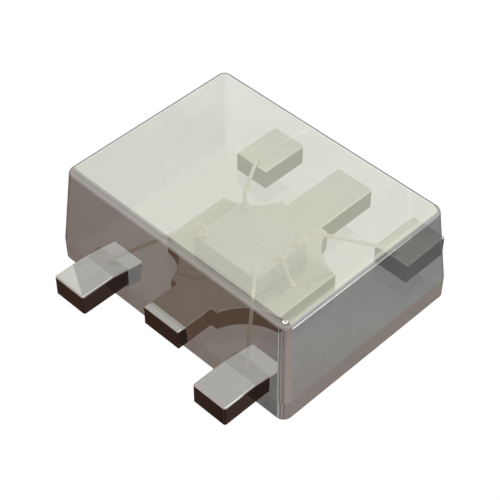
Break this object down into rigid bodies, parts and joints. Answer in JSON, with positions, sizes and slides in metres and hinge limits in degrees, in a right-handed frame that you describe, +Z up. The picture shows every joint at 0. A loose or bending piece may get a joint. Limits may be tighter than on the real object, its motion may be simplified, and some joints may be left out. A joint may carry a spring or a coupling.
{
  "type": "ambient light sensor",
  "caption": "Clear-moulded flat-lead surface-mount light sensor with a scalloped die pad, a sensor chip, bond wires and side terminals.",
  "frame": {"origin": "centre of the solder plane, under the middle of the moulded body", "axes": "+Z up out of the board; +X along the body's long side; the terminals leave towards -Y and +Y, the cut terminal towards -Y"},
  "size_m": [0.0016, 0.0016, 0.0006],
  "materials": {
    "clear_resin": "clear moulded epoxy, polished top, slightly milky",
    "plated_frame": "satin plated sheet metal",
    "die_adhesive": "cured die-attach adhesive",
    "silicon": "polished silicon chip with metal bond pads",
    "gold_wire": "drawn gold wire"
  },
  "bodies": {
    "root": {"clear_body": "clear_resin", "die_pad": "plated_frame", "front_left_lead": "plated_frame", "front_right_lead": "plated_frame", "back_left_lead": "plated_frame", "back_right_lead": "plated_frame", "die_attach": "die_adhesive", "sensor_die": "silicon", "front_left_wire": "gold_wire", "front_right_wire": "gold_wire", "back_left_wire": "gold_wire", "back_right_wire": "gold_wire", "ground_wire": "gold_wire"}
  },
  "joints": []
}
